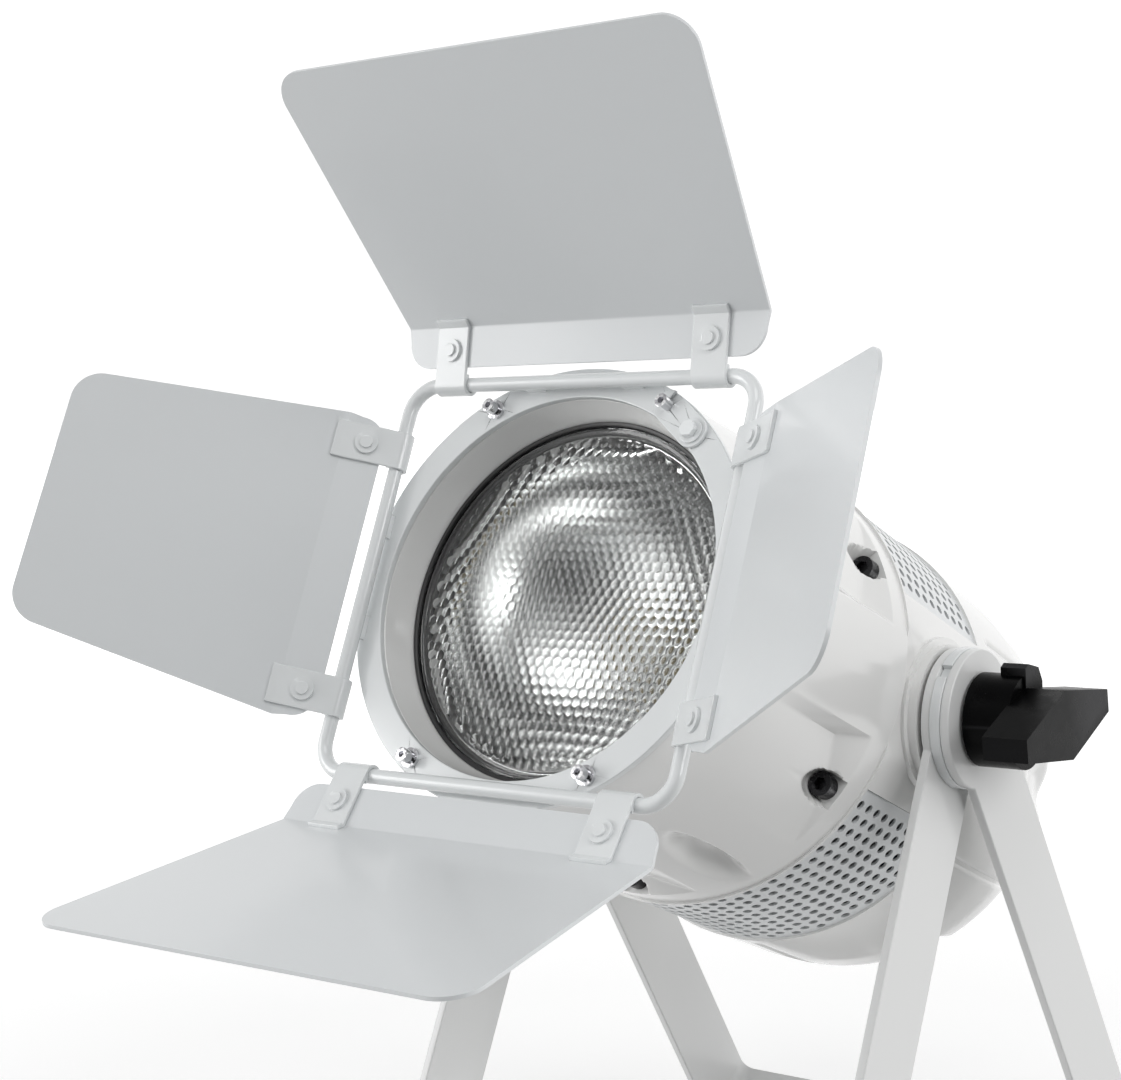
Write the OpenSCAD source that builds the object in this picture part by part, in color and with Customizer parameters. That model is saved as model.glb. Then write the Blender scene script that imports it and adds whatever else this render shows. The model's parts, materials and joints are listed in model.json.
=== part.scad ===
// Barn-door spotlight on a folding double bracket.
// Millimetres, +Z up, floor at z = 0, the beam points to -Y and up.

/* [Stance] */

// Beam angle above the horizontal
beam_tilt = 25.4; // [0:0.1:60]
// Angle of the inner bracket from the vertical, legs to the front
front_angle = 28.4; // [10:0.1:45]
// Angle of the outer bracket from the vertical, legs to the rear
rear_angle = 31.2; // [10:0.1:45]
// Rearward offset of the pivot axis that centres the lamp on the origin
pivot_y = 69.4; // [0:1:150]

/* [Brackets] */

// Width of the flat bar
bar_width = 40; // [25:1:60]
// Thickness of the flat bar
bar_thick = 4; // [2:0.5:8]
// Distance from the centre plane to the middle of the inner bar
inner_mid = 104.8; // [100:0.1:120]
// Distance from the centre plane to the middle of the outer bar
outer_mid = 113.3; // [108:0.1:130]
// Pivot axis to the outer face of the outer base bar
outer_leg = 290; // [220:1:400]
// Outside radius of the bends
bend_r = 10; // [5:1:20]
// Diameter of the round eyes around the pivot
eye_d = 58; // [40:1:70]
// Diameter of the clamp hole in each base bar
clamp_hole_d = 13; // [8:0.5:16]

/* [Pivot hardware] */

// Radius of the pivot stud
stud_r = 5; // [3:0.5:8]
// Running clearance around the stud
run_gap = 0.08; // [0.02:0.01:0.1]
// Diameter of the round knob base
knob_d = 39; // [30:1:50]
// Length of the knob's grip, corner to corner
wing_l = 80; // [40:1:100]
// Width of the knob's grip at its middle
wing_w = 30; // [15:1:40]
// Slope of the knob's grip, from the horizontal
wing_slope = 6; // [-90:1:90]

/* [Housing] */

// Radius of the middle ring
body_r = 99.5; // [90:0.5:110]
// Half length of the middle ring
ring_half = 38; // [25:1:50]
// Distance from the pivot to the front rim
front_s = 157; // [140:1:180]
// Distance from the pivot to the rear face
rear_s = 147; // [120:1:170]
// Half width across the flattened sides
side_flat = 96; // [90:0.5:100]
// Radius of the rear control panel
panel_r = 62; // [50:1:70]

/* [Optics] */

// Radius of the front glass
lens_r = 74; // [60:0.5:85]
// Distance from the pivot to the glass's front face
lens_s = 141; // [130:0.5:150]

/* [Barn door] */

// Outside radius of the barn-door ring
door_ring_r = 91.3; // [85:0.1:100]
// Inside radius of the barn-door ring
door_hole_r = 79; // [70:0.5:85]
// Half width of the rod frame, to the rod's middle
frame_w = 85.06; // [75:0.01:95]
// Half height of the rod frame, to the rod's middle
frame_h = 83.65; // [75:0.01:95]
// Radius of the rod
rod_r = 3; // [2:0.25:5]
// Middle radius of the frame's corners
corner_r = 13; // [8:1:20]
// Distance from the pivot to the rod plane
rod_s = 164.8; // [150:0.1:180]
// Thickness of the leaf sheet
sheet = 1.5; // [0.8:0.1:3]
// Opening of the top and bottom leaves from the beam axis
large_open = 32; // [0:1:65]
// Opening of the left leaf from the beam axis
left_open = 44.3; // [0:0.1:90]
// Opening of the right leaf from the beam axis
right_open = 48; // [0:0.1:90]

/* [Hidden] */

$fn = 96;
inner_leg = (outer_leg * cos(rear_angle) + bar_width / 2 * (sin(rear_angle) - sin(front_angle)))
    / cos(front_angle);
pivot_z = outer_leg * cos(rear_angle) + bar_width / 2 * sin(rear_angle);
inner_face = inner_mid - bar_thick / 2;
spacer_x = inner_mid + bar_thick / 2;
outer_face = outer_mid - bar_thick / 2;
face_gap = 0.05;
washer_x = outer_mid + bar_thick / 2;
washer_t = 1.5;
pad_t = 1.5;
boss_end = inner_face - pad_t;
knob_x = washer_x + washer_t;
knob_h = 37.7;
screw_ring_r = 85.3;
screw_angles = [60, 120, 240, 300];
latch_r = 84.3;
latch_angle = 48;
latch_dx = screw_ring_r * cos(60) - latch_r * cos(latch_angle);
latch_dy = screw_ring_r * sin(60) - latch_r * sin(latch_angle);
latch_len = norm([latch_dx, latch_dy]);
latch_dir = atan2(latch_dy, latch_dx);
latch_t = 1.6;
shell_screw_r = 91.5;
shell_screw_angles = [30 : 60 : 330];
shell_boss_r = 88.5;
shell_seat = 50;
strip_start = 7;
crease = 24;
large_bend = 43.5;
small_bend = 10.5;
clip_r = rod_r + 0.05;
clip_out = clip_r + sheet;
clip_w = 16;
clip_lip = 4;
rivet_t = 14;
large_pos = 63.5;
small_pos = 53.5;
rivet_r = 2;

// Node to build, or all

// ---------- frames ----------

// The head's frame: x across, y up, z along the beam, from the pivot.
module head_frame()
{
    translate([0, pivot_y, pivot_z])
        rotate([90 - beam_tilt, 0, 0])
            children();
}

// A bracket's frame: the leg runs down -Z from the pivot, swung by angle a to the rear.
module bracket_frame(a)
{
    translate([0, pivot_y, pivot_z])
        rotate([a, 0, 0])
            children();
}

// Both ends of the pivot axis, with the child's +Z pointing outwards along X.
module both_sides()
{
    translate([0, pivot_y, pivot_z])
    {
        rotate([0, 90, 0])
            children();
        rotate([0, -90, 0])
            children();
    }
}

module at_polar(r, a, z)
{
    translate([r * cos(a), r * sin(a), z])
        children();
}

// A sector of a tube about Z, from angle a0 to a1.
module tube_sector(r_in, r_out, z0, z1, a0, a1)
{
    translate([0, 0, z0])
        rotate([0, 0, a0])
            rotate_extrude(angle = a1 - a0)
                translate([r_in, 0])
                    square([r_out - r_in, z1 - z0]);
}

module slab(x, y, z0, z1)
{
    translate([-x / 2, -y / 2, z0])
        cube([x, y, z1 - z0]);
}

// ---------- brackets ----------

module u_profile(mid, leg)
{
    x_out = mid + bar_thick / 2;
    for (side = [-1, 1])
    {
        translate([side * mid - bar_thick / 2, -leg + bend_r])
            square([bar_thick, leg - bend_r]);
        translate([side * (x_out - bend_r), -leg + bend_r])
            intersection()
            {
                difference()
                {
                    circle(r = bend_r);
                    circle(r = bend_r - bar_thick);
                }
                translate([side > 0 ? 0 : -bend_r, -bend_r])
                    square([bend_r, bend_r]);
            }
    }
    translate([-x_out + bend_r, -leg])
        square([2 * (x_out - bend_r), bar_thick]);
}

module bracket(mid, leg)
{
    difference()
    {
        union()
        {
            translate([0, bar_width / 2, 0])
                rotate([90, 0, 0])
                    linear_extrude(bar_width)
                        u_profile(mid, leg);
            for (side = [-1, 1])
                translate([side * mid, 0, 0])
                    rotate([0, 90, 0])
                        cylinder(d = eye_d, h = bar_thick, center = true);
        }
        for (side = [-1, 1])
            translate([side * mid, 0, 0])
                rotate([0, 90, 0])
                    cylinder(r = stud_r + run_gap, h = 3 * bar_thick, center = true);
        translate([0, 0, -leg + bar_thick / 2])
            cylinder(d = clamp_hole_d, h = 3 * bar_thick, center = true);
    }
}

module outer_bracket()
{
    color([0.9, 0.91, 0.92])
        bracket_frame(rear_angle)
            bracket(outer_mid, outer_leg);
}

module inner_bracket()
{
    color([0.9, 0.91, 0.92])
        bracket_frame(-front_angle)
            bracket(inner_mid, inner_leg);
}

module spacer_discs()
{
    color([0.88, 0.89, 0.9])
        both_sides()
            difference()
            {
                translate([0, 0, spacer_x + face_gap])
                    cylinder(d = eye_d + 1, h = outer_face - spacer_x - face_gap);
                translate([0, 0, spacer_x - 1])
                    cylinder(r = stud_r + run_gap, h = 8);
                for (a = [40, 220])
                    rotate([0, 0, a])
                        translate([eye_d / 2 - 2, -3, spacer_x - 1])
                            cube([6, 6, 8]);
            }
}

module pivot_washers()
{
    color([0.25, 0.25, 0.27])
        both_sides()
            difference()
            {
                translate([0, 0, washer_x])
                    cylinder(r = 14, h = washer_t);
                translate([0, 0, washer_x - 1])
                    cylinder(r = stud_r + run_gap, h = 4);
            }
}

module friction_discs()
{
    color([0.2, 0.2, 0.21])
        both_sides()
            difference()
            {
                translate([0, 0, boss_end])
                    cylinder(r = 26, h = pad_t);
                translate([0, 0, boss_end - 1])
                    cylinder(r = stud_r + run_gap, h = 4);
            }
}

module pivot_studs()
{
    color([0.7, 0.7, 0.72])
        both_sides()
        {
            translate([0, 0, 82])
                cylinder(r = stud_r, h = 52);
            translate([0, 0, 78])
                cylinder(r = 8.5, h = 4, $fn = 6);
        }
}

// ---------- knobs ----------

// The grip's outline: a stretched hexagon with slanted ends.
module grip_outline()
{
    polygon([[-wing_l / 2, -4.8], [2, -wing_w / 2], [wing_l / 2, -4.8], [wing_l / 2, 4.8], [-2, wing_w / 2],
        [-wing_l / 2, 4.8]]);
}

module knob_body()
{
    difference()
    {
        union()
        {
            translate([0, 0, knob_x])
                cylinder(d = knob_d, h = 19.7);
            translate([0, 0, knob_x + 18.7])
                linear_extrude(knob_h - 18.7)
                    grip_outline();
            translate([5, 0, knob_x + 9.7])
                rotate([0, 0, -wing_slope])
                    linear_extrude(11)
                        polygon([[-8, 0], [8, 0], [8, 15], [4.5, 21], [-5, 23.5], [-8, 22]]);
        }
        translate([0, 0, knob_x - 1])
            cylinder(r = 9, h = 20);
    }
}

module knob_insert_body()
{
    difference()
    {
        translate([0, 0, knob_x])
            cylinder(r = 9, h = 19);
        translate([0, 0, knob_x - 1])
            cylinder(r = stud_r + run_gap, h = 22);
    }
}

// The grip's rear end is raised.
module right_knob()
{
    color([0.05, 0.05, 0.055])
        translate([0, pivot_y, pivot_z])
            rotate([wing_slope, 0, 0])
                rotate([0, 90, 0])
                    rotate([0, 0, 90])
                        knob_body();
}

module left_knob()
{
    color([0.05, 0.05, 0.055])
        translate([0, pivot_y, pivot_z])
            rotate([wing_slope, 0, 0])
                rotate([0, -90, 0])
                    rotate([0, 0, -90])
                        mirror([0, 1, 0])
                            knob_body();
}

module right_knob_insert()
{
    color([0.72, 0.58, 0.3])
        translate([0, pivot_y, pivot_z])
            rotate([0, 90, 0])
                knob_insert_body();
}

module left_knob_insert()
{
    color([0.72, 0.58, 0.3])
        translate([0, pivot_y, pivot_z])
            rotate([0, -90, 0])
                knob_insert_body();
}

// ---------- housing ----------

// A spindle about Z that cuts a long shallow scoop.
module scoop_tool(r, half)
{
    rotate_extrude()
        polygon([[0, -half], [0.6 * r, -0.8 * half], [0.9 * r, -0.42 * half], [r, 0],
            [0.9 * r, 0.42 * half], [0.6 * r, 0.8 * half], [0, half]]);
}

module front_housing()
{
    color([0.93, 0.94, 0.95])
        head_frame()
            difference()
            {
                union()
                {
                    rotate_extrude()
                        polygon([[98.5, ring_half], [98.3, 50], [97, 72], [95, 97], [93, 122],
                            [91.5, 142], [91, 152], [90, front_s], [door_hole_r, front_s],
                            [76, 143.6], [76, 134], [71.5, 134], [71.5, 131], [83, 129],
                            [87, 118], [89, 97], [91, 72], [92.5, 50], [93.5, ring_half]]);
                    for (a = shell_screw_angles)
                        at_polar(shell_boss_r, a, ring_half)
                            cylinder(r = 7.6, h = 30);
                }
                for (a = shell_screw_angles)
                {
                    at_polar(shell_screw_r, a, shell_seat)
                        cylinder(r = 5.8, h = 22);
                    at_polar(shell_screw_r + 5, a, shell_seat)
                        cylinder(r = 5.8, h = 22);
                    at_polar(shell_screw_r, a, ring_half - 1)
                        cylinder(r = 3.2, h = 25);
                }
                for (a = screw_angles)
                    at_polar(screw_ring_r, a, 141)
                        cylinder(r = 1.5, h = 20);
                at_polar(latch_r, latch_angle, 149)
                    cylinder(r = 2.5, h = 20);
                for (a = [60, 120, 240, 300])
                    rotate([0, 0, a])
                        translate([103.5, 0, 78])
                            scoop_tool(10.5, 36);
            }
}

module ring_profile(r_side)
{
    rotate_extrude()
        polygon([[93.5, -ring_half], [r_side, -ring_half], [r_side, ring_half],
            [93.5, ring_half], [93.5, -22], [90, -22], [90, -25], [93.5, -25]]);
}

// The ring is cut back to the vent sheets' seat above and below, and flattened at the sides.
module chassis_ring()
{
    color([0.93, 0.94, 0.95])
        head_frame()
            difference()
            {
                union()
                {
                    intersection()
                    {
                        difference()
                        {
                            ring_profile(body_r);
                            for (a = [25, -155])
                                tube_sector(97.2, 105, -ring_half + 1.5, ring_half - 1.5, a, a + 130);
                        }
                        slab(2 * side_flat, 220, -60, 60);
                    }
                    for (a = [90, -90])
                        rotate([0, a, 0])
                        {
                            translate([0, 0, 84])
                                cylinder(r = 14, h = 11.2);
                            translate([0, 0, 94.8])
                                cylinder(r = 33, h = 2.7);
                            translate([0, 0, 97.2])
                                cylinder(r = 30, h = boss_end - 97.2);
                        }
                    for (a = shell_screw_angles)
                        at_polar(shell_boss_r, a, 14)
                            cylinder(r = 7, h = ring_half - 14);
                }
                for (a = [30, -150])
                    tube_sector(92, 105, -31, 31, a + 6, a + 114);
                for (a = [90, -90])
                    rotate([0, a, 0])
                        cylinder(r = stud_r, h = 120);
                for (a = shell_screw_angles)
                    at_polar(shell_screw_r, a, 16)
                        cylinder(r = 3, h = 30);
            }
}

module grille_plate(a)
{
    tube_sector(97.2, 98.4, -ring_half + 1.5, ring_half - 1.5, a - 64.9, a + 64.9);
}

module top_grille()
{
    color([0.9, 0.91, 0.92])
        head_frame()
            grille_plate(90);
}

module bottom_grille()
{
    color([0.9, 0.91, 0.92])
        head_frame()
            grille_plate(270);
}

module rear_cover()
{
    color([0.93, 0.94, 0.95])
        head_frame()
            difference()
            {
                rotate_extrude()
                    polygon([[98.5, -ring_half], [98.2, -60], [96.6, -85], [92.5, -107],
                        [86.5, -124], [80, -138], [75, -144.5], [70, -rear_s],
                        [panel_r + 0.4, -rear_s], [panel_r + 0.4, -rear_s + 2],
                        [panel_r - 5, -rear_s + 2], [panel_r - 5, -rear_s + 4],
                        [70, -rear_s + 6], [78, -124], [85, -107], [91, -85], [93.5, -60],
                        [93.5, -ring_half]]);
                for (a = [0 : 60 : 300])
                    rotate([0, 0, a])
                        translate([95, 0, -122])
                            scoop_tool(12, 26);
                for (a = [45 : 90 : 315])
                    at_polar(panel_r - 2.5, a, -rear_s + 1)
                        cylinder(r = 1.2, h = 6);
                for (x = [-8, 8])
                    translate([x, 69, -rear_s - 1])
                        cylinder(r = 2, h = 8);
            }
}

module housing_screws()
{
    color([0.04, 0.04, 0.045])
        head_frame()
            for (a = shell_screw_angles)
                at_polar(shell_screw_r, a, 0)
                    difference()
                    {
                        union()
                        {
                            translate([0, 0, shell_seat])
                                cylinder(r = 5, h = 6);
                            translate([0, 0, 20])
                                cylinder(r = 2.95, h = shell_seat - 19);
                        }
                        translate([0, 0, shell_seat + 3])
                            cylinder(r = 2.9, h = 5, $fn = 6);
                    }
}

// ---------- optics ----------

module lens()
{
    color([0.85, 0.88, 0.9, 0.4])
        head_frame()
            translate([0, 0, lens_s - 4])
                cylinder(r = lens_r, h = 4);
}

module lens_gasket()
{
    color([0.04, 0.04, 0.045])
        head_frame()
            rotate_extrude()
                polygon([[76, 134], [76, 143.6], [71.5, 143.6], [71.5, lens_s],
                    [lens_r, lens_s], [lens_r, lens_s - 4], [72.5, lens_s - 4], [72.5, 134]]);
}

module reflector()
{
    color([0.85, 0.86, 0.88])
        head_frame()
            rotate_extrude()
                polygon([[15, 70.5], [22, 71.5], [38, 77.5], [52, 89], [62, 104], [67.5, 120],
                    [69, 129], [71, 129], [71, 130.2], [67.9, 130.2], [66.3, 120.3],
                    [60.9, 104.6], [51.1, 90], [37.3, 78.7], [21.6, 72.8], [15, 71.9]]);
}

module led_board()
{
    color([0.8, 0.8, 0.78])
        head_frame()
            slab(46, 46, 68, 70.5);
}

module led_emitter()
{
    color([0.95, 0.8, 0.25])
        head_frame()
            translate([0, 0, 70.5])
                cylinder(r = 13, h = 1.2);
}

module heat_sink()
{
    color([0.25, 0.25, 0.27])
        head_frame()
        {
            translate([0, 0, 60])
                cylinder(r = 60, h = 8);
            intersection()
            {
                for (y = [-48 : 12 : 48])
                    translate([-60, y - 1.25, 5])
                        cube([120, 2.5, 56]);
                translate([0, 0, 4])
                    cylinder(r = 60, h = 58);
            }
        }
}

// ---------- cooling and electronics ----------

module fan_frame()
{
    color([0.06, 0.06, 0.065])
        head_frame()
        {
            difference()
            {
                slab(92, 92, -20, 5);
                translate([0, 0, -21])
                    cylinder(r = 44, h = 27);
                for (x = [-41, 41], y = [-41, 41])
                    translate([x, y, -21])
                        cylinder(r = 2.2, h = 27);
            }
            difference()
            {
                union()
                {
                    translate([0, 0, -20])
                        cylinder(r = 19, h = 3);
                    for (a = [0 : 90 : 270])
                        rotate([0, 0, a])
                            translate([15, -2, -20])
                                cube([30, 4, 3]);
                }
                translate([0, 0, -21])
                    cylinder(r = 2, h = 5);
            }
        }
}

module fan_rotor()
{
    color([0.09, 0.09, 0.095])
        head_frame()
        {
            translate([0, 0, -15])
                cylinder(r = 18, h = 18);
            translate([0, 0, -19.5])
                cylinder(r = 1.95, h = 5);
            for (a = [0 : 360 / 7 : 359])
                rotate([0, 0, a])
                    translate([16, 0, -6])
                        rotate([35, 0, 0])
                            translate([0, -1, -8])
                                cube([26, 2, 16]);
        }
}

module support_plate()
{
    color([0.6, 0.61, 0.62])
        head_frame()
            difference()
            {
                translate([0, 0, -22])
                    cylinder(r = 93.4, h = 2);
                translate([0, 0, -23])
                    cylinder(r = 20, h = 4);
                for (a = [45 : 90 : 315])
                    rotate([0, 0, a])
                        translate([42, 0, -23])
                            cylinder(r = 14, h = 4);
            }
}

module power_supply()
{
    color([0.72, 0.73, 0.74])
        head_frame()
            slab(112, 64, -60, -22);
}

module control_board()
{
    color([0.06, 0.25, 0.14])
        head_frame()
        {
            translate([-32, 0, -138])
                cube([64, 46, 1.6]);
            for (x = [-29, 29], y = [20, 43])
                translate([x, y, -rear_s + 2])
                    cylinder(r = 2.5, h = rear_s - 2 - 138);
        }
}

module rear_panel()
{
    color([0.12, 0.12, 0.13])
        head_frame()
            difference()
            {
                translate([0, 0, -rear_s])
                    cylinder(r = panel_r, h = 2);
                translate([-21, 20, -rear_s - 1])
                    cube([42, 20, 4]);
                for (x = [-24, -8, 8, 24])
                    translate([x, 8, -rear_s - 1])
                        cylinder(r = 3.7, h = 4);
                for (p = [[0, -36], [-34, -20], [34, -20]])
                    translate([p[0], p[1], -rear_s - 1])
                        cylinder(r = 11.6, h = 4);
                for (a = [45 : 90 : 315])
                    at_polar(panel_r - 2.5, a, -rear_s - 1)
                        cylinder(r = 1.2, h = 4);
            }
}

module display_window()
{
    color([0.05, 0.07, 0.1])
        head_frame()
            translate([-21, 20, -rear_s])
                cube([42, 20, 2]);
}

module menu_button(x)
{
    head_frame()
        translate([x, 8, 0])
        {
            translate([0, 0, -rear_s - 2.5])
                cylinder(r = 3.62, h = 5);
            translate([0, 0, -rear_s + 2.1])
                cylinder(r = 5, h = 1);
        }
}

module menu_button_1()
{
    color([0.3, 0.3, 0.32])
        menu_button(-24);
}

module menu_button_2()
{
    color([0.3, 0.3, 0.32])
        menu_button(-8);
}

module menu_button_3()
{
    color([0.3, 0.3, 0.32])
        menu_button(8);
}

module menu_button_4()
{
    color([0.3, 0.3, 0.32])
        menu_button(24);
}

// A panel socket: a flange outside the panel, a barrel through it, a recess for the plug.
module socket(x, y, recess_r)
{
    head_frame()
        translate([x, y, 0])
            difference()
            {
                union()
                {
                    slab(26, 30, -rear_s - 2, -rear_s);
                    translate([0, 0, -rear_s - 0.5])
                        cylinder(r = 11.5, h = 26);
                }
                translate([0, 0, -rear_s - 3])
                    cylinder(r = recess_r, h = 18);
            }
}

module power_inlet()
{
    color([0.1, 0.25, 0.6])
        socket(0, -36, 9);
}

module signal_input()
{
    color([0.07, 0.07, 0.075])
        socket(-34, -20, 9.5);
}

module signal_output()
{
    color([0.07, 0.07, 0.075])
        socket(34, -20, 9.5);
}

module panel_screws()
{
    color([0.6, 0.6, 0.62])
        head_frame()
            for (a = [45 : 90 : 315])
                at_polar(panel_r - 2.5, a, 0)
                {
                    translate([0, 0, -rear_s - 1.5])
                        cylinder(r = 2.3, h = 1.5);
                    translate([0, 0, -rear_s - 0.5])
                        cylinder(r = 1.2, h = 4.5);
                }
}

module safety_eye()
{
    color([0.7, 0.7, 0.72])
        head_frame()
        {
            translate([-13, 64, -rear_s - 3])
                cube([26, 10, 3]);
            difference()
            {
                union()
                {
                    translate([0, 71, -rear_s - 13])
                        rotate([90, 0, 0])
                            cylinder(r = 10, h = 4);
                    translate([-10, 67, -rear_s - 13])
                        cube([20, 4, 12]);
                }
                translate([0, 80, -rear_s - 13])
                    rotate([90, 0, 0])
                        cylinder(r = 5.5, h = 20);
            }
            for (x = [-8, 8])
                translate([x, 69, -rear_s - 1])
                    cylinder(r = 2, h = 7);
        }
}

// ---------- barn door ----------

module barn_door_ring()
{
    color([0.9, 0.91, 0.92])
        head_frame()
            difference()
            {
                tube_sector(door_hole_r, door_ring_r, front_s, front_s + 3, 0, 360);
                for (a = screw_angles)
                    at_polar(screw_ring_r, a, front_s - 1)
                        cylinder(r = 1.7, h = 6);
                at_polar(latch_r, latch_angle, front_s - 1)
                    cylinder(r = 2.5, h = 6);
            }
}

module rod_frame()
{
    w = frame_w - corner_r;
    h = frame_h - corner_r;
    color([0.9, 0.91, 0.92])
        head_frame()
        {
            translate([0, 0, rod_s])
            {
                for (side = [-1, 1])
                {
                    translate([-w, side * frame_h, 0])
                        rotate([0, 90, 0])
                            cylinder(r = rod_r, h = 2 * w);
                    translate([side * frame_w, h, 0])
                        rotate([90, 0, 0])
                            cylinder(r = rod_r, h = 2 * h);
                }
                for (c = [[w, h, 0], [-w, h, 90], [-w, -h, 180], [w, -h, 270]])
                    translate([c[0], c[1], 0])
                        rotate([0, 0, c[2]])
                            rotate_extrude(angle = 90)
                                translate([corner_r, 0])
                                    circle(r = rod_r);
            }
            for (side = [-1, 1], k = [-1, 1])
            {
                translate([k * 24 - 5, side * frame_h - 2, front_s + 3])
                    cube([10, 4, 3]);
                translate([side * frame_w - 2, k * 22 - 5, front_s + 3])
                    cube([4, 10, 3]);
            }
        }
}

// Chrome cap screws that hold the ring to the housing; three sit on a spacer, one on the latch.
module ring_screws()
{
    color([0.8, 0.8, 0.82])
        head_frame()
            for (a = screw_angles)
                at_polar(screw_ring_r, a, front_s + 3)
                {
                    if (a != 60)
                        difference()
                        {
                            cylinder(r = 4, h = latch_t);
                            translate([0, 0, -1])
                                cylinder(r = 1, h = 4);
                        }
                    difference()
                    {
                        translate([0, 0, latch_t])
                            cylinder(r = 2.75, h = 5);
                        translate([0, 0, latch_t + 2.5])
                            cylinder(r = 1.45, h = 5, $fn = 6);
                    }
                    translate([0, 0, -18])
                        cylinder(r = 1.5, h = 18 + latch_t + 0.5);
                }
}

// A hook plate that turns about its bolt and catches under the screw at 60 degrees.
module latch()
{
    color([0.9, 0.91, 0.92])
        head_frame()
            at_polar(latch_r, latch_angle, front_s + 3)
                rotate([0, 0, latch_dir])
                    difference()
                    {
                        union()
                        {
                            translate([0, -6.5, 0])
                                cube([latch_len, 13, latch_t]);
                            cylinder(r = 6.5, h = latch_t);
                            translate([latch_len, 0, 0])
                                cylinder(r = 6.5, h = latch_t);
                        }
                        translate([0, 0, -1])
                            cylinder(r = 2.55, h = 4);
                        translate([latch_len, 0, -1])
                            cylinder(r = 1.65, h = 4);
                        translate([latch_len, 0, -1])
                            linear_extrude(4)
                                polygon([[-1.65, 0], [1.65, 0], [1.65, -10], [-4.3, -10]]);
                    }
}

module latch_bolt()
{
    color([0.9, 0.91, 0.92])
        head_frame()
            at_polar(latch_r, latch_angle, front_s + 3)
            {
                translate([0, 0, -10])
                    cylinder(r = 2.5, h = 11 + latch_t);
                translate([0, 0, latch_t + 0.05])
                    cylinder(r = 5, h = 1);
                translate([0, 0, latch_t + 1.05])
                    cylinder(r = 3.4, h = 2.6, $fn = 6);
            }
}

// A leaf's frame: x along the rod, y away from it, z to the beam side of the sheet.
module leaf_frame(turn, reach, angle)
{
    head_frame()
        rotate([0, 0, turn])
            translate([0, reach, rod_s])
                rotate([90 - angle, 0, 0])
                    children();
}

function corner_arc(x, y, r, a0, a1) =
    r < 0.1 ? [[x, y]] : [for (i = [0 : 8]) [x + r * cos(a0 + (a1 - a0) * i / 8),
        y + r * sin(a0 + (a1 - a0) * i / 8)]];

// A flat plate of sheet, half width w0 at y0 and w1 at y1, with corner radii r0 and r1.
module round_plate(y0, w0, y1, w1, r0, r1)
{
    lean = atan2(w1 - w0, y1 - y0);
    right = concat(corner_arc(w0 - r0, y0 + r0, r0, -90, -lean),
        corner_arc(w1 - r1, y1 - r1, r1, -lean, 90));
    left = [for (i = [len(right) - 1 : -1 : 0]) [-right[i][0], right[i][1]]];
    linear_extrude(sheet)
        polygon(concat(right, left));
}

// Strip from the rod to the crease, then the panel, bent towards the beam.
module leaf_sheet(w_in, w_out, length, bend, clip_pos)
{
    difference()
    {
        union()
        {
            translate([0, 0, clip_r - sheet])
                round_plate(strip_start, w_in - 1, crease, w_in, 11, 0);
            translate([-w_in, crease, clip_r])
                rotate([0, 90, 0])
                    rotate_extrude(angle = bend)
                        square([sheet, 2 * w_in]);
            translate([0, crease, clip_r])
                rotate([bend, 0, 0])
                    translate([0, 0, -sheet])
                        round_plate(-0.3, w_in, length, w_out, 0, 13);
        }
        for (side = [-1, 1])
            translate([side * clip_pos, rivet_t, -2])
                cylinder(r = rivet_r, h = 10);
    }
}

// A clip's side view: the plate on the leaf, with its end turned up along the bent panel.
module clip_side(bend)
{
    polygon([[0, clip_r], [crease, clip_r], [crease + clip_lip * cos(bend), clip_r + clip_lip * sin(bend)],
        [crease + clip_lip * cos(bend) - sheet * sin(bend),
            clip_r + clip_lip * sin(bend) + sheet * cos(bend)],
        [crease - sheet * tan(bend / 2), clip_out], [0, clip_out]]);
}

module clip(pos, bend)
{
    translate([pos - clip_w / 2, 0, 0])
        difference()
        {
            union()
            {
                rotate([0, 90, 0])
                    cylinder(r = clip_out, h = clip_w);
                rotate([90, 0, 90])
                    linear_extrude(clip_w)
                        clip_side(bend);
            }
            translate([-1, 0, 0])
                rotate([0, 90, 0])
                    cylinder(r = clip_r, h = clip_w + 2);
            translate([-1, 0.5, -8])
                cube([clip_w + 2, 8, 8 + clip_r - sheet]);
            translate([clip_w / 2, rivet_t, 0])
                cylinder(r = rivet_r, h = 10);
        }
}

module rivet(pos)
{
    translate([pos, rivet_t, 0])
    {
        translate([0, 0, clip_out])
            cylinder(r = 4.75, h = 1.3);
        translate([0, 0, clip_out + 1])
            cylinder(r = 2.6, h = 1.3);
        translate([0, 0, clip_r - sheet - 1])
            cylinder(r = rivet_r, h = 2 * sheet + 1.2);
        translate([0, 0, clip_r - sheet - 1.2])
            cylinder(r = 3.5, h = 1.2);
    }
}

module large_place(turn)
{
    leaf_frame(turn, frame_h, large_open + large_bend)
        children();
}

module small_place(turn)
{
    leaf_frame(turn, frame_w, (turn == 90 ? left_open : right_open) + small_bend)
        children();
}

module clip_pair(pos, bend)
{
    clip(-pos, bend);
    clip(pos, bend);
}

module rivet_pair(pos)
{
    rivet(-pos);
    rivet(pos);
}

module top_leaf()
{
    color([0.86, 0.88, 0.9])
        large_place(0)
            leaf_sheet(88.4, 100.3, 121, large_bend, large_pos);
}

module bottom_leaf()
{
    color([0.86, 0.88, 0.9])
        large_place(180)
            leaf_sheet(88.4, 100.3, 121, large_bend, large_pos);
}

module left_leaf()
{
    color([0.86, 0.88, 0.9])
        small_place(90)
            leaf_sheet(65.7, 52.6, 112, small_bend, small_pos);
}

module right_leaf()
{
    color([0.86, 0.88, 0.9])
        small_place(270)
            leaf_sheet(65.7, 52.6, 112, small_bend, small_pos);
}

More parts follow.
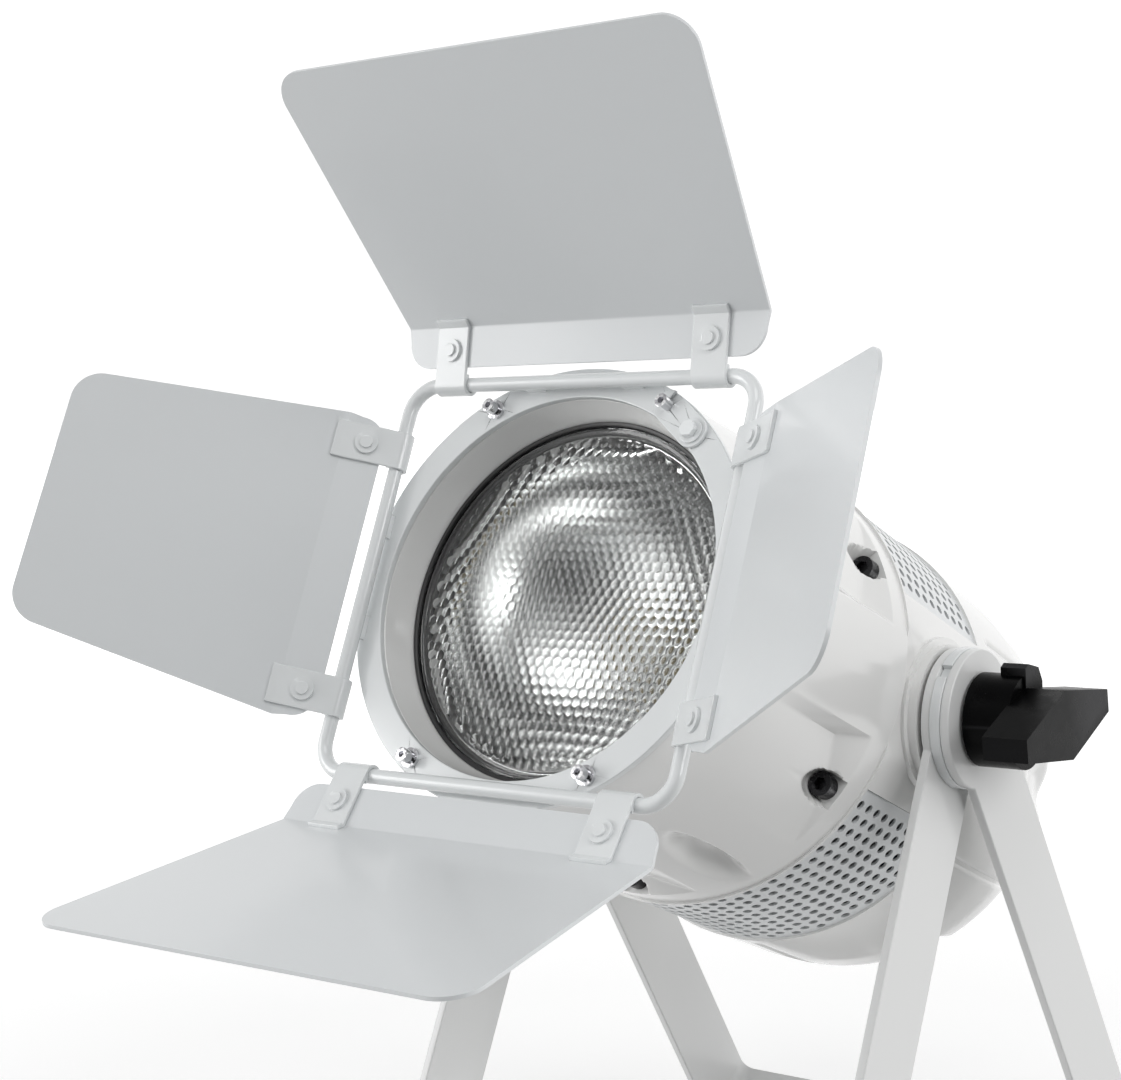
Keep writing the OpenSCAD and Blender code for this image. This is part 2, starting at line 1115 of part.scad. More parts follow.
module top_clips()
{
    color([0.86, 0.88, 0.9])
        large_place(0)
            clip_pair(large_pos, large_bend);
}

module bottom_clips()
{
    color([0.86, 0.88, 0.9])
        large_place(180)
            clip_pair(large_pos, large_bend);
}

module left_clips()
{
    color([0.86, 0.88, 0.9])
        small_place(90)
            clip_pair(small_pos, small_bend);
}

module right_clips()
{
    color([0.86, 0.88, 0.9])
        small_place(270)
            clip_pair(small_pos, small_bend);
}

module top_rivets()
{
    color([0.88, 0.9, 0.92])
        large_place(0)
            rivet_pair(large_pos);
}

module bottom_rivets()
{
    color([0.88, 0.9, 0.92])
        large_place(180)
            rivet_pair(large_pos);
}

module left_rivets()
{
    color([0.88, 0.9, 0.92])
        small_place(90)
            rivet_pair(small_pos);
}

module right_rivets()
{
    color([0.88, 0.9, 0.92])
        small_place(270)
            rivet_pair(small_pos);
}

outer_bracket();
inner_bracket();
spacer_discs();
pivot_washers();
friction_discs();
pivot_studs();
left_knob();
right_knob();
left_knob_insert();
right_knob_insert();
front_housing();
chassis_ring();
rear_cover();
top_grille();
bottom_grille();
housing_screws();
lens();
lens_gasket();
reflector();
led_board();
led_emitter();
heat_sink();
fan_frame();
fan_rotor();
support_plate();
power_supply();
control_board();
rear_panel();
display_window();
menu_button_1();
menu_button_2();
menu_button_3();
menu_button_4();
power_inlet();
signal_input();
signal_output();
panel_screws();
safety_eye();
barn_door_ring();
rod_frame();
ring_screws();
latch();
latch_bolt();
top_leaf();
bottom_leaf();
left_leaf();
right_leaf();
top_clips();
bottom_clips();
left_clips();
right_clips();
top_rivets();
bottom_rivets();
left_rivets();
right_rivets();
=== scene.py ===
import json
import math

import bmesh
import bpy
import numpy as np
from mathutils import Matrix, Vector


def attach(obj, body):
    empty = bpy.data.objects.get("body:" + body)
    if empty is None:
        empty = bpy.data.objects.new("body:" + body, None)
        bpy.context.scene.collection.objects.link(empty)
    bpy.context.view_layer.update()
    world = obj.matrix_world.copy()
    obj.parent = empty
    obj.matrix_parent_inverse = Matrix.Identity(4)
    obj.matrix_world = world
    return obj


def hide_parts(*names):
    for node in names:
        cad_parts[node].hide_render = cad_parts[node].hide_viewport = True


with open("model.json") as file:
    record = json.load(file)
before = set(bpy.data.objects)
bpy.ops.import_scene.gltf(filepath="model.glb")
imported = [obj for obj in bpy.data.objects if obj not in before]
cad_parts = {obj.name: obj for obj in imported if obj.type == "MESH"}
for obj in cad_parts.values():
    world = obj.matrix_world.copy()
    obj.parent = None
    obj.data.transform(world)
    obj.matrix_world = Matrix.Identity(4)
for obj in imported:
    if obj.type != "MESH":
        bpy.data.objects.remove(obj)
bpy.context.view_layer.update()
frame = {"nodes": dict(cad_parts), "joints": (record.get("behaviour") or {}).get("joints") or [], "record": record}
nodes = frame["nodes"]
joints = {j["name"]: j for j in frame["joints"]}

# ---------- the head's own axes: x across, u up and s along the beam, in millimetres ----------

MM = 0.001
PIVOT = np.array(joints["head_tilt"]["pos_m"])
BEAM = np.array(joints["fan_spin"]["axis"])
ACROSS = np.array([1.0, 0.0, 0.0])
UP = np.cross(BEAM, ACROSS)
HEAD = np.column_stack([ACROSS, UP, BEAM])
ROD_S = 164.8


def head_points(points):
    """Points of the head's axes, in millimetres, as world points in metres."""
    return PIVOT + MM * np.asarray(points, float) @ HEAD.T


def polar(radius, angle, s):
    """A point of the head's axes from its radius, its angle in degrees from x, and s."""
    a = np.radians(angle)
    return np.stack(np.broadcast_arrays(radius * np.cos(a), radius * np.sin(a), s), -1)


# ---------- materials ----------


class Surface:
    """A principled material whose colour, roughness and bump come from procedural nodes."""

    def __init__(self, name, rough=0.4, metal=0.0, **sockets):
        self.material = bpy.data.materials.new(name)
        self.material.use_nodes = True
        self.tree = self.material.node_tree
        self.shader = self.tree.nodes["Principled BSDF"]
        self.coords = self.node("ShaderNodeTexCoord").outputs["Object"]
        self.set("Metallic", metal)
        self.set("Roughness", rough)
        for key, value in sockets.items():
            self.set(key.replace("_", " "), value)
        self.height = None

    def node(self, kind, **inputs):
        made = self.tree.nodes.new(kind)
        for key, value in inputs.items():
            self.put(made.inputs[key.replace("_", " ")], value)
        return made

    def put(self, socket, value):
        if isinstance(value, bpy.types.NodeSocket):
            self.tree.links.new(value, socket)
        else:
            socket.default_value = value

    def set(self, socket, value):
        self.put(self.shader.inputs[socket], value)

    def noise(self, scale, detail=3.0, stretch=(1, 1, 1), distortion=0.0):
        place = self.node("ShaderNodeMapping", Vector=self.coords, Scale=stretch)
        return self.node("ShaderNodeTexNoise", Vector=place.outputs[0], Scale=scale, Detail=detail,
                         Distortion=distortion).outputs["Fac"]

    def remap(self, value, low, high, out_low, out_high):
        made = self.node("ShaderNodeMapRange", Value=value)
        for index, number in enumerate((low, high, out_low, out_high)):
            made.inputs[index + 1].default_value = number
        return made.outputs[0]

    def mix(self, factor, a, b):
        made = self.node("ShaderNodeMix")
        made.data_type = "RGBA"
        for index, value in ((0, factor), (6, a), (7, b)):
            if isinstance(value, tuple) and len(value) == 3:
                value = (*value, 1.0)
            self.put(made.inputs[index], value)
        return made.outputs[2]

    def bricks(self, scale, one, other, gap):
        return self.node("ShaderNodeTexBrick", Vector=self.coords, Scale=scale, Color1=one, Color2=other,
                         Mortar=gap)

    def edge_wear_and_highlight(self):
        """0 on faces, 1 on the edges that take edge wear and painted highlight."""
        edge = self.node("ShaderNodeNewGeometry").outputs["Pointiness"]
        return self.remap(edge, 0.53, 0.62, 0.0, 1.0)

    def bump(self, height, strength, distance):
        made = self.node("ShaderNodeBump", Height=height, Strength=strength, Distance=distance)
        if self.height is not None:
            self.tree.links.new(self.height, made.inputs["Normal"])
        self.height = made.outputs[0]
        self.set("Normal", self.height)


def finish_surface(name, colour, rough, metal=0.0, spread=0.04, patch=14.0, rough_spread=0.06, grain=650.0,
                   grain_strength=0.12, grain_depth=0.0002, stretch=(1, 1, 1), edge=None, **sockets):
    """Cloudy colour and roughness, a fine grain, and an edge tint for edge wear and, on the white enamels, painted
    highlight.
    """
    made = Surface(name, rough, metal, **sockets)
    cloud = made.noise(patch, 4.0)
    dark = tuple(c * (1 - spread) for c in colour)
    light = tuple(min(1.0, c * (1 + spread)) for c in colour)
    base = made.mix(made.remap(cloud, 0.3, 0.7, 0.0, 1.0), dark, light)
    # edge tint: edge wear on most finishes, painted highlight on the white enamels
    if edge is not None:
        base = made.mix(made.edge_wear_and_highlight(), base, edge)
    made.set("Base Color", base)
    smudge = made.noise(patch * 4.5, 5.0, distortion=0.6)
    smooth, dull = max(0.02, rough - rough_spread), rough + rough_spread
    made.set("Roughness", made.remap(smudge, 0.3, 0.72, smooth, dull))
    made.bump(made.noise(grain, 2.0, stretch), grain_strength, grain_depth)
    return made


def enamel(name, colour, rough, peel, coat):
    """Sprayed white enamel: orange peel at two sizes, faint clouds and a painted highlight along the edges."""
    made = finish_surface(name, colour, rough, spread=0.008, patch=5.0, rough_spread=0.025, grain=420.0,
                          grain_strength=peel, grain_depth=0.00012,
                          # painted highlight: the edges are lighter than the faces
                          edge=tuple(min(1.0, c * 1.06 + 0.02) for c in colour),
                          Coat_Weight=coat, Coat_Roughness=0.12)
    made.bump(made.noise(90.0, 2.0), peel * 0.6, 0.0004)
    return made.material


SHADES = {}
SHADES["white_bracket"] = enamel("bracket enamel", (0.77, 0.775, 0.77), 0.32, 0.20, 0.3)
SHADES["white_casting"] = enamel("casting enamel", (0.80, 0.80, 0.79), 0.20, 0.14, 0.7)
SHADES["white_sheet"] = enamel("sheet enamel", (0.71, 0.73, 0.74), 0.30, 0.18, 0.35)
SHADES["white_trim"] = enamel("trim enamel", (0.76, 0.78, 0.785), 0.22, 0.14, 0.6)
SHADES["black_plastic"] = finish_surface(
    "moulded black", (0.002, 0.002, 0.0022), 0.30, spread=0.3, patch=30.0, grain=1500.0, grain_strength=0.35,
    grain_depth=0.0001, edge=(0.03, 0.03, 0.032), Specular_IOR_Level=0.06).material
SHADES["black_steel"] = finish_surface(
    "black oxide steel", (0.018, 0.018, 0.020), 0.28, metal=0.6, spread=0.4, patch=60.0, grain=900.0,
    edge=(0.16, 0.16, 0.165)).material
SHADES["chrome_steel"] = finish_surface(
    "bright chrome", (0.56, 0.56, 0.58), 0.12, metal=1.0, spread=0.03, patch=80.0, rough_spread=0.05,
    grain=1200.0, grain_strength=0.1, edge=(0.95, 0.95, 0.96)).material
SHADES["zinc_steel"] = finish_surface(
    "zinc plate", (0.58, 0.59, 0.61), 0.30, metal=1.0, spread=0.12, patch=60.0, rough_spread=0.1,
    grain=800.0, edge=(0.8, 0.8, 0.82)).material
SHADES["brass"] = finish_surface(
    "turned brass", (0.60, 0.42, 0.16), 0.26, metal=1.0, spread=0.12, patch=70.0, rough_spread=0.08,
    grain=500.0, stretch=(12, 1, 1), edge=(0.85, 0.68, 0.36)).material
SHADES["friction_fibre"] = finish_surface(
    "friction fibre", (0.06, 0.05, 0.045), 0.85, spread=0.35, patch=260.0, grain=1400.0, grain_strength=0.8,
    grain_depth=0.0004).material
SHADES["gasket"] = finish_surface(
    "gasket rubber", (0.010, 0.010, 0.011), 0.38, spread=0.3, patch=50.0, grain=900.0, grain_strength=0.3,
    edge=(0.06, 0.06, 0.06)).material
SHADES["led_substrate"] = finish_surface(
    "board metal", (0.70, 0.70, 0.68), 0.42, metal=0.7, spread=0.08, patch=90.0, grain=700.0,
    stretch=(1, 1, 8)).material
SHADES["black_aluminium"] = finish_surface(
    "anodised black", (0.03, 0.03, 0.033), 0.38, metal=0.8, spread=0.3, patch=50.0, grain=600.0,
    stretch=(1, 10, 1), edge=(0.2, 0.2, 0.21)).material
SHADES["fan_plastic"] = finish_surface(
    "fan nylon", (0.016, 0.016, 0.017), 0.5, spread=0.3, patch=60.0, grain=1100.0,
    grain_strength=0.4).material
SHADES["bare_steel"] = finish_surface(
    "rolled steel", (0.52, 0.53, 0.54), 0.34, metal=1.0, spread=0.12, patch=24.0, rough_spread=0.12,
    grain=500.0, stretch=(14, 1, 1), edge=(0.75, 0.75, 0.76)).material
SHADES["panel_black"] = finish_surface(
    "textured black coat", (0.020, 0.020, 0.022), 0.48, spread=0.3, patch=40.0, grain=1300.0,
    grain_strength=0.8, grain_depth=0.00025, edge=(0.08, 0.08, 0.085)).material
SHADES["button_grey"] = finish_surface(
    "soft grey key", (0.12, 0.12, 0.13), 0.6, spread=0.15, patch=80.0, grain=1500.0, grain_strength=0.3,
    edge=(0.22, 0.22, 0.23)).material
SHADES["inlet_blue"] = finish_surface(
    "blue moulding", (0.02, 0.09, 0.36), 0.36, spread=0.15, patch=70.0, grain=1200.0, grain_strength=0.3,
    edge=(0.08, 0.2, 0.5)).material
SHADES["socket_black"] = finish_surface(
    "socket moulding", (0.015, 0.015, 0.016), 0.42, spread=0.3, patch=70.0, grain=1200.0,
    grain_strength=0.35, edge=(0.07, 0.07, 0.072)).material


def glass_shade():
    made = Surface("pressed glass", 0.03, 0.0, IOR=1.5, Transmission_Weight=1.0)
    made.set("Base Color", made.mix(made.noise(30.0), (0.975, 0.985, 0.98), (0.99, 0.995, 0.99)))
    made.set("Roughness", made.remap(made.noise(70.0, 5.0), 0.35, 0.75, 0.015, 0.06))
    made.bump(made.noise(260.0, 2.0), 0.08, 0.0002)
    return made.material


def mirror_shade():
    made = Surface("metallised bowl", 0.08, 1.0)
    made.set("Base Color", made.mix(made.noise(22.0), (0.90, 0.91, 0.91), (0.96, 0.965, 0.96)))
    made.set("Roughness", made.remap(made.noise(60.0, 5.0), 0.3, 0.75, 0.10, 0.18))
    made.bump(made.noise(120.0, 2.0), 0.12, 0.0005)
    return made.material


def phosphor_shade():
    made = Surface("phosphor", 0.4, 0.0, Coat_Weight=0.6)
    dots = made.node("ShaderNodeTexVoronoi", Vector=made.coords, Scale=700.0).outputs["Distance"]
    between = made.remap(dots, 0.1, 0.5, 0, 1)
    made.set("Base Color", made.mix(between, (0.16, 0.12, 0.03), (0.22, 0.17, 0.06)))
    made.bump(dots, 0.3, 0.0002)
    return made.material


def board_shade():
    made = Surface("circuit board", 0.35, 0.0, Coat_Weight=0.3)
    tracks = made.bricks(320.0, (0.012, 0.10, 0.045, 1), (0.02, 0.15, 0.07, 1), (0.25, 0.28, 0.1, 1))
    made.set("Base Color", tracks.outputs["Color"])
    made.bump(tracks.outputs["Fac"], 0.3, 0.0001)
    made.set("Roughness", made.remap(made.noise(120.0), 0.3, 0.7, 0.28, 0.45))
    return made.material


def display_shade():
    made = Surface("display window", 0.08, 0.0, Coat_Weight=1.0, Coat_Roughness=0.03)
    cells = made.bricks(900.0, (0.006, 0.012, 0.03, 1), (0.007, 0.014, 0.035, 1), (0.002, 0.004, 0.01, 1))
    made.set("Base Color", cells.outputs["Color"])
    made.set("Roughness", made.remap(made.noise(90.0, 4.0), 0.3, 0.7, 0.05, 0.16))
    made.bump(made.noise(60.0), 0.03, 0.0002)
    return made.material


SHADES["clear_glass"] = glass_shade()
SHADES["reflector"] = mirror_shade()
SHADES["phosphor"] = phosphor_shade()
SHADES["circuit_board"] = board_shade()
SHADES["display"] = display_shade()

SLOTS = {p["node"]: p["material_slot"] for p in frame["record"]["subparts"]}
BODIES = {n: body for body, members in frame["record"]["behaviour"]["bodies"].items() for n in members}

# ---------- making pieces ----------


def soften(obj, width, segments=2, angle=32.0, weld=True):
    """Rounds an object's hard edges."""
    if weld:
        step = obj.modifiers.new("weld", "WELD")
        step.merge_threshold = 0.00001
    step = obj.modifiers.new("edges", "BEVEL")
    step.width = width * MM
    step.segments = segments
    step.limit_method = "ANGLE"
    step.angle_limit = math.radians(angle)
    step.use_clamp_overlap = True
    step.miter_outer = "MITER_ARC"
    obj.data.polygons.foreach_set("use_smooth", [True] * len(obj.data.polygons))
    step = obj.modifiers.new("normals", "WEIGHTED_NORMAL")
    step.keep_sharp = True
    step.weight = 100


def piece(name, points, faces, stands_for, sharp=None):
    """A new mesh piece that rides on the body of the CAD node that it stands for."""
    mesh = bpy.data.meshes.new(name)
    mesh.from_pydata([tuple(p) for p in np.asarray(points)], [], [tuple(f) for f in faces])
    mesh.validate()
    obj = bpy.data.objects.new(name, mesh)
    bpy.context.scene.collection.objects.link(obj)
    work = bmesh.new()
    work.from_mesh(mesh)
    bmesh.ops.recalc_face_normals(work, faces=work.faces)
    work.to_mesh(mesh)
    work.free()
    mesh.polygons.foreach_set("use_smooth", [True] * len(mesh.polygons))
    if sharp is not None:
        mesh.set_sharp_from_angle(angle=math.radians(sharp))
    dress(obj, SLOTS[stands_for])
    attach(obj, BODIES[stands_for])
    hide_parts(stands_for)
    return obj


def dress(obj, slot):
    obj.data.materials.clear()
    obj.data.materials.append(SHADES[slot])


def grid_faces(rows, columns, closed=False):
    """Quads of a grid of points, rows by columns, joined round both ways if closed."""
    i = np.arange(rows if closed else rows - 1)
    j = np.arange(columns if closed else columns - 1)
    i, j = (a.ravel() for a in np.meshgrid(i, j, indexing="ij"))
    i2, j2 = (i + 1) % rows, (j + 1) % columns
    return np.stack([i * columns + j, i2 * columns + j, i2 * columns + j2, i * columns + j2], -1).tolist()


def round_angles(turns):
    return np.arange(turns) * 360.0 / turns


def closed_shell(name, rings, stands_for, sharp):
    """A piece made of closed rings of points round the beam, whose last ring joins its first."""
    faces = grid_faces(len(rings), len(rings[0]), closed=True)
    return piece(name, head_points(np.concatenate(rings)), faces, stands_for, sharp=sharp)


def ramp(value, start, stop):
    """0 before start, 1 after stop, straight between."""
    return np.clip((value - start) / (stop - start), 0.0, 1.0)


def smooth_ramp(value, start, stop):
    t = ramp(value, start, stop)
    return t * t * (3 - 2 * t)


def smoothed_profile(s, points, reach=7.0, samples=15):
    """Radius at s from straight pieces between points, with their corners rounded off."""
    at, radius = np.array(points, float).T
    offsets = np.linspace(-reach, reach, samples)
    return np.mean([np.interp(s + o, at, radius) for o in offsets], axis=0)


# ---------- the pressed front glass ----------

PEBBLE = 4.3
PEBBLE_ROW = PEBBLE * math.sqrt(3) / 2
PEBBLE_STEPS = 4
DOME_R = 5.4
LENS_BACK, LENS_FACE, LENS_R, PEBBLED_R = 137.0, 141.0, 74.0, 69.3
PEBBLE_TOP = LENS_FACE - 0.05
PEBBLE_LIMIT = PEBBLED_R - 0.5
RIM_TURNS = 240
# (radius, s) from the pebbles' border over the clear rim, round the edge and onto the back
LENS_RIM = [(PEBBLED_R, 140.5), (PEBBLED_R + 0.8, 140.35), (72.2, 140.4), (72.9, 140.75),
            (73.6, 140.6), (LENS_R, 139.9), (LENS_R, 137.4), (73.6, LENS_BACK),
            (60.0, LENS_BACK), (30.0, LENS_BACK)]


def pebble_height(x, y):
    """s of the pebbled face, which has one dome on each centre of a triangular pattern."""
    nearest = math.inf
    middle_row = round(y / PEBBLE_ROW)
    for row in (middle_row - 1, middle_row, middle_row + 1):
        shift = PEBBLE / 2 if row % 2 else 0.0
        centre_x = round((x - shift) / PEBBLE) * PEBBLE + shift
        nearest = min(nearest, math.hypot(x - centre_x, y - row * PEBBLE_ROW))
    return PEBBLE_TOP + math.sqrt(DOME_R ** 2 - nearest ** 2) - DOME_R


def make_lens():
    """The glass: a pebbled face, a clear rim and a flat back."""
    fine = PEBBLE / math.sqrt(3) / PEBBLE_STEPS
    reach = int(PEBBLED_R / (fine * math.sqrt(3) / 2)) + 3
    work = bmesh.new()
    made = {}

    def place(i, j):
        """x and y on a triangular lattice whose lines run along the pebbles' outlines."""
        return j * math.sqrt(3) / 2 * fine, (i + j / 2) * fine

    def vertex(spot):
        if spot not in made:
            x, y = place(*spot)
            made[spot] = work.verts.new((x, y, pebble_height(x, y)))
        return made[spot]

    for j in range(-reach, reach + 1):
        for i in range(-2 * reach, 2 * reach + 1):
            lower = ((i, j), (i + 1, j), (i, j + 1))
            upper = ((i + 1, j), (i + 1, j + 1), (i, j + 1))
            for corners in (lower, upper):
                if all(math.hypot(*place(*spot)) < PEBBLE_LIMIT for spot in corners):
                    work.faces.new([vertex(spot) for spot in corners])
    angles = round_angles(RIM_TURNS)
    rings = [[work.verts.new(p) for p in polar(radius, angles, s)] for radius, s in LENS_RIM]
    centre = work.verts.new((0, 0, LENS_BACK))
    for k in range(RIM_TURNS):
        after = (k + 1) % RIM_TURNS
        for low, high in zip(rings, rings[1:]):
            work.faces.new([low[k], low[after], high[after], high[k]])
        work.faces.new([rings[-1][k], rings[-1][after], centre])
    # the ragged gap between the last whole pebbles and the rim
    border = [e for e in work.edges if len(e.link_faces) == 1]
    bmesh.ops.triangle_fill(work, use_beauty=True, use_dissolve=False, edges=border)
    work.verts.index_update()
    points = head_points([v.co for v in work.verts])
    faces = [[v.index for v in f.verts] for f in work.faces]
    work.free()
    return piece("pebbled_lens", points, faces, "lens", sharp=34)


BOWL_MOUTH, BOWL_DEPTH, BOWL_LIP, BOWL_HOLE = 69.0, 61.0, 129.0, 71.5
BOWL_ROWS, BOWL_TURNS = 44, 192


def make_bowl():
    """The bowl reflector: an ellipse turned round the beam, with a rolled lip."""
    inner = []
    for s in BOWL_LIP - (BOWL_LIP - BOWL_HOLE) * np.cos(np.linspace(0, math.pi / 2, BOWL_ROWS)):
        inner.append((BOWL_MOUTH * math.sqrt(1 - ((BOWL_LIP - s) / BOWL_DEPTH) ** 2), s))
    lip = [(BOWL_MOUTH + 0.5, BOWL_LIP + 0.35), (BOWL_MOUTH + 1.1, BOWL_LIP + 0.2),
           (BOWL_MOUTH + 1.3, BOWL_LIP - 0.4)]
    outer = [(r + 1.0, s - 0.6) for r, s in inner[::-3]]
    angles = round_angles(BOWL_TURNS)
    rings = [polar(r, angles, s) for r, s in inner + lip + outer]
    return closed_shell("bowl_reflector", rings, "reflector", 50)


# (radius, s) of the lip round the glass, the wall outside it and the seat behind it
GASKET = [(71.6, 134.1), (71.6, 136.6), (71.9, 136.95), (74.1, 136.95), (74.1, 141.2),
          (74.35, 141.6), (75.6, 141.8), (75.9, 141.4), (75.95, 134.1)]


def make_gasket():
    """A thin rubber channel that holds the glass."""
    angles = round_angles(RIM_TURNS)
    return closed_shell("glass_gasket", [polar(r, angles, s) for r, s in GASKET], "lens_gasket", 50)


# ---------- perforated vent sheets ----------

HOLE_R, HOLE_PITCH, HOLE_SIDES, VENT_ROWS, VENT_HOLES = 2.1, 7.2, 16, 35, 10
VENT_FIRST, VENT_LAST, VENT_END = 29.1, 150.9, 25.15
VENT_HALF, VENT_IN, VENT_OUT = 36.5, 97.2, 98.4
VENT_STEP = (VENT_LAST - VENT_FIRST) / (VENT_ROWS - 1)
HOLED_HALF = VENT_HOLES * HOLE_PITCH / 2
ARC_STEPS = 4


def square_point(c, d):
    """The point of a square of half width 1 in the direction (c, d), moved onto its quarter points."""
    scale = 1 / max(abs(c), abs(d))
    return tuple(v if abs(v) >= 0.99 else round(v * 2) / 2 for v in (c * scale, d * scale))


def make_vent(name, centre):
    """A sheet bent round the beam, with staggered rows of round holes. centre is its middle's angle."""
    half_arc = math.radians(VENT_STEP) * VENT_OUT / 2
    known, points, faces = {}, [], []

    def vertex(angle, s, layer):
        key = (round(angle * 2000), round(s * 2000), layer)
        if key not in known:
            known[key] = len(points)
            points.append(polar(layer, angle + centre - 90, s))
        return known[key]

    def both(corners):
        """One face on the outside of the sheet and its like on the inside."""
        faces.append([vertex(a, s, VENT_OUT) for a, s in corners])
        faces.append([vertex(a, s, VENT_IN) for a, s in reversed(corners)])

    def patch(a0, a1, s0, s1, across, along):
        grid_a, grid_s = np.linspace(a0, a1, across + 1), np.linspace(s0, s1, along + 1)
        for a, a_next in zip(grid_a, grid_a[1:]):
            for s, s_next in zip(grid_s, grid_s[1:]):
                both([(a, s), (a_next, s), (a_next, s_next), (a, s_next)])

    def hole(a, s):
        """A square of sheet round one hole, with the hole's wall."""
        outline = []
        for side in range(HOLE_SIDES):
            turn = side * 2 * math.pi / HOLE_SIDES
            c, d = math.cos(turn), math.sin(turn)
            edge_c, edge_d = square_point(c, d)
            border = (a + edge_d * VENT_STEP / 2, s + edge_c * HOLE_PITCH / 2)
            rim = (a + d * HOLE_R / half_arc * VENT_STEP / 2, s + c * HOLE_R)
            outline.append((border, rim))
        for (b0, r0), (b1, r1) in zip(outline, outline[1:] + outline[:1]):
            both([b0, b1, r1, r0])
            wall = [vertex(*r0, VENT_OUT), vertex(*r1, VENT_OUT), vertex(*r1, VENT_IN)]
            faces.append([*wall, vertex(*r0, VENT_IN)])

    for row in range(VENT_ROWS):
        a = VENT_FIRST + row * VENT_STEP
        a0, a1 = a - VENT_STEP / 2, a + VENT_STEP / 2
        holes = VENT_HOLES if row % 2 == 0 else VENT_HOLES - 1
        for k in range(holes):
            hole(a, (k - (holes - 1) / 2) * HOLE_PITCH)
        if row % 2:
            edge = holes * HOLE_PITCH / 2
            patch(a0, a1, edge, edge + HOLE_PITCH / 2, ARC_STEPS, 2)
            patch(a0, a1, -edge - HOLE_PITCH / 2, -edge, ARC_STEPS, 2)
        patch(a0, a1, HOLED_HALF, VENT_HALF, ARC_STEPS, 1)
        patch(a0, a1, -VENT_HALF, -HOLED_HALF, ARC_STEPS, 1)
    first, last = VENT_FIRST - VENT_STEP / 2, VENT_LAST + VENT_STEP / 2
    quarters = np.arange(-VENT_HOLES * 2, VENT_HOLES * 2 + 1) * HOLE_PITCH / 4
    stations = [-VENT_HALF, *quarters, VENT_HALF]
    for low, high in ((VENT_END, first), (last, 180 - VENT_END)):
        for s0, s1 in zip(stations, stations[1:]):
            patch(low, high, s0, s1, 2, 1)
    # the sheet's outer border
    count = {}
    for f in faces:
        for e in zip(f, f[1:] + f[:1]):
            count[frozenset(e)] = count.get(frozenset(e), 0) + 1
    key_of = {index: key for key, index in known.items()}
    for i, j in [e for e, used in count.items() if used == 1]:
        if key_of[i][2] == key_of[j][2] == VENT_OUT:
            inner_j, inner_i = (known[(*key_of[k][:2], VENT_IN)] for k in (j, i))
            faces.append([i, j, inner_j, inner_i])
    return piece(name, head_points(points), faces, f"{name.split('_')[0]}_grille", sharp=40)


# ---------- the front casting ----------

CAST_TURNS = 720
# (s, radius) of the outside and of the inside
FRONT_OUTER = [(30, 98.6), (38, 98.5), (50, 98.3), (72, 97), (97, 95), (122, 93), (142, 91.5),
               (152, 91), (165, 90.2)]
FRONT_INNER = [(38, 93.5), (50, 92.5), (72, 91), (97, 89), (118, 87), (129, 83)]
# (radius, s) down the mouth, round the glass's seat and back out to the wall
FRONT_BORE = [(79.6, 157.0), (79.0, 156.5), (76.3, 144.0), (76.0, 143.4), (76.0, 134.0),
              (71.9, 134.0), (71.5, 133.6), (71.5, 131.4), (71.9, 131.0), (82.5, 129.2)]
FRONT_S, MOUTH_S, SEAT_BACK_S, FRONT_WALL = 38.0, 157.0, 129, 1.6
SCREW_ANGLES, SCREW_R, SCREW_WELL, SCREW_SEAT = range(30, 360, 60), 91.5, 5.8, 50.0
POCKET_DEPTH, LOW_POCKET_DEPTH = 6.2, 4.5
POCKET_START, POCKET_FLOOR, POCKET_END = 50, 66, 120
# angles from the nearest side: the pocket's ledge, where its floor fades out, and the low pocket's slope
LEDGE, FADE_OUT, LOW_SLOPE = (14.0, 17.5), 45.5, (73, 82)
SCOOP = dict(at=60, mid=76, half=34, depth=7.0, steep=6.0, gentle=12.5, radius=97)
WELL = dict(widens_by=3.0, wide_at=62, flare=2.2, run_out=8.0, run_out_from=57, run_out_to=74)
MOUTH_EDGE_S, MOUTH_EDGE_DEPTH = 156.2, 0.45


def pocket_depth(s, a):
    """Depth of the screw pockets. a is the angle in degrees from the nearest side, 0 to 90."""
    slope = ramp(s, POCKET_END, POCKET_FLOOR)
    rear = ramp(s, POCKET_START, POCKET_FLOOR)
    side = POCKET_DEPTH * np.minimum(slope * ramp(a, FADE_OUT, LEDGE[1]) * ramp(a, *LEDGE), rear)
    low = np.minimum(LOW_POCKET_DEPTH * slope * ramp(a, *LOW_SLOPE), POCKET_DEPTH * rear)
    return np.maximum(side, low)


def scoop_depth(s, a):
    """An oval scoop with a steep wall towards the side and a gentle one away from it."""
    arc = np.radians(a - SCOOP["at"]) * SCOOP["radius"]
    width = np.where(arc < 0, SCOOP["steep"], SCOOP["gentle"])
    e = np.hypot((s - SCOOP["mid"]) / SCOOP["half"], arc / width)
    return SCOOP["depth"] * (1 - smooth_ramp(e, 0.25, 1.0))


def cut_well(outer, s, phi, at):
    """The outer radius, lowered to a round-bottomed channel in front of the screw at this angle."""
    across = np.abs(np.radians(((phi - at + 180) % 360) - 180) * SCREW_R)
    width = SCREW_WELL + WELL["widens_by"] * smooth_ramp(s, SCREW_SEAT + 0.5, WELL["wide_at"])
    bottom = SCREW_R - np.sqrt(SCREW_WELL ** 2 - np.minimum(across, SCREW_WELL) ** 2)
    flare = np.maximum(0.0, across - SCREW_WELL) * WELL["flare"]
    run_out = WELL["run_out"] * smooth_ramp(s, WELL["run_out_from"], WELL["run_out_to"])
    inside = (across < width) & (s >= SCREW_SEAT)
    return np.where(inside, np.minimum(outer, bottom + flare + run_out), outer)


